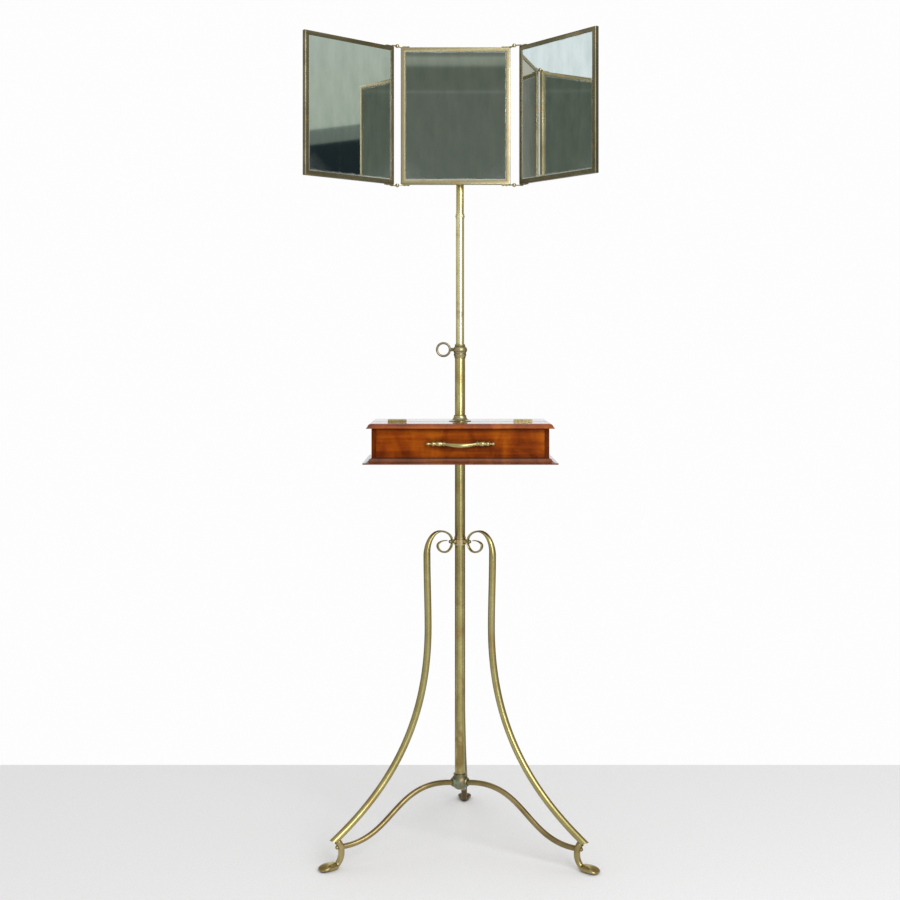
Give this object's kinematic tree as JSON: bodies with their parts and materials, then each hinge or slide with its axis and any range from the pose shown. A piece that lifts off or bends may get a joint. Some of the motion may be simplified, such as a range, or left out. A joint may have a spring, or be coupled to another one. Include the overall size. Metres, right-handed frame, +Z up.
{
  "type": "shaving mirror stand",
  "caption": "Brass tripod stand with scrolled legs and a telescopic pole, a small mahogany box with lid and drawer, and a hinged triple mirror.",
  "frame": {"origin": "on the floor, on the axis of the column", "axes": "+Z up, -Y towards the user who faces the middle mirror, +X to that user's right"},
  "size_m": [0.546, 0.5071, 1.5527],
  "materials": {
    "aged_brass": "aged",
    "dark_brass": "patinated",
    "frame_brass": "satin, aged",
    "mahogany": "French polished",
    "dark_mahogany": "French polished",
    "drawer_wood": "bare",
    "mirror": "aged silvering",
    "backboard": "stained"
  },
  "bodies": {
    "stand": {"column": "aged_brass", "hub": "dark_brass", "leg_left": "aged_brass", "leg_right": "aged_brass", "leg_back": "aged_brass", "stretcher_left": "aged_brass", "stretcher_right": "aged_brass", "stretcher_back": "aged_brass", "foot_left": "aged_brass", "foot_right": "aged_brass", "foot_back": "aged_brass", "foot_bolts": "dark_brass", "scroll_collar": "dark_brass", "scroll_bolts": "dark_brass", "clamp_collar": "aged_brass", "box_base": "dark_mahogany", "box_side_left": "mahogany", "box_side_right": "mahogany", "box_back": "mahogany", "box_divider": "drawer_wood", "well_floor": "drawer_wood", "well_front": "drawer_wood", "box_top_rear": "mahogany", "top_flange": "aged_brass", "bottom_flange": "dark_brass", "stand_screws": "dark_brass", "lid_hinge_plates": "aged_brass"},
    "lid": {"lid": "mahogany", "lid_hinge_leaves": "aged_brass", "lid_screws": "dark_brass"},
    "drawer": {"drawer_front": "mahogany", "drawer_side_left": "drawer_wood", "drawer_side_right": "drawer_wood", "drawer_back": "drawer_wood", "drawer_bottom": "drawer_wood", "drawer_handle": "aged_brass", "handle_screws": "dark_brass"},
    "thumbscrew": {"thumbscrew": "aged_brass"},
    "pole": {"inner_pole": "aged_brass", "pole_guide": "dark_brass", "pole_ferrule": "aged_brass"},
    "head_stem": {"head_stem": "aged_brass"},
    "head": {"tilt_bracket": "frame_brass", "bracket_rivets": "dark_brass", "tilt_screw": "dark_brass", "centre_frame": "frame_brass", "centre_mirror": "mirror", "centre_board": "backboard", "centre_straps": "frame_brass", "wing_pivots": "dark_brass"},
    "left_wing": {"left_frame": "frame_brass", "left_mirror": "mirror", "left_board": "backboard", "left_straps": "frame_brass"},
    "right_wing": {"right_frame": "frame_brass", "right_mirror": "mirror", "right_board": "backboard", "right_straps": "frame_brass"},
    "tilt_nut": {"tilt_nut": "aged_brass"}
  },
  "joints": [
    {"name": "height_slide", "type": "slide", "parent": "stand", "child": "pole", "axis": [0, 0, 1], "range_m": [-0.235, 0.2]},
    {"name": "head_swivel", "type": "hinge", "parent": "pole", "child": "head_stem", "pos_m": [0, 0, 1.2297], "axis": [0, 0, 1], "continuous": true},
    {"name": "mirror_tilt", "type": "hinge", "parent": "head_stem", "child": "head", "pos_m": [0, 0, 1.4149], "axis": [-1, 0, 0], "range_deg": [-5, 30]},
    {"name": "left_wing_hinge", "type": "hinge", "parent": "head", "child": "left_wing", "pos_m": [-0.121, -0.03475, 1.4149], "axis": [0, 0, 1], "range_deg": [-72, 137.6]},
    {"name": "right_wing_hinge", "type": "hinge", "parent": "head", "child": "right_wing", "pos_m": [0.1038, -0.04, 1.4149], "axis": [0, 0, -1], "range_deg": [-82, 127.6]},
    {"name": "tilt_nut_turn", "type": "hinge", "parent": "head", "child": "tilt_nut", "pos_m": [0.004, 0, 1.4149], "axis": [1, 0, 0], "continuous": true},
    {"name": "lid_hinge", "type": "hinge", "parent": "stand", "child": "lid", "pos_m": [0, -0.026, 0.8283], "axis": [-1, 0, 0], "range_deg": [0, 97]},
    {"name": "drawer_slide", "type": "slide", "parent": "stand", "child": "drawer", "axis": [0, -1, 0], "range_m": [0, 0.055]},
    {"name": "thumbscrew_turn", "type": "hinge", "parent": "stand", "child": "thumbscrew", "pos_m": [-0.02, 0, 0.965], "axis": [-1, 0, 0], "continuous": true}
  ]
}
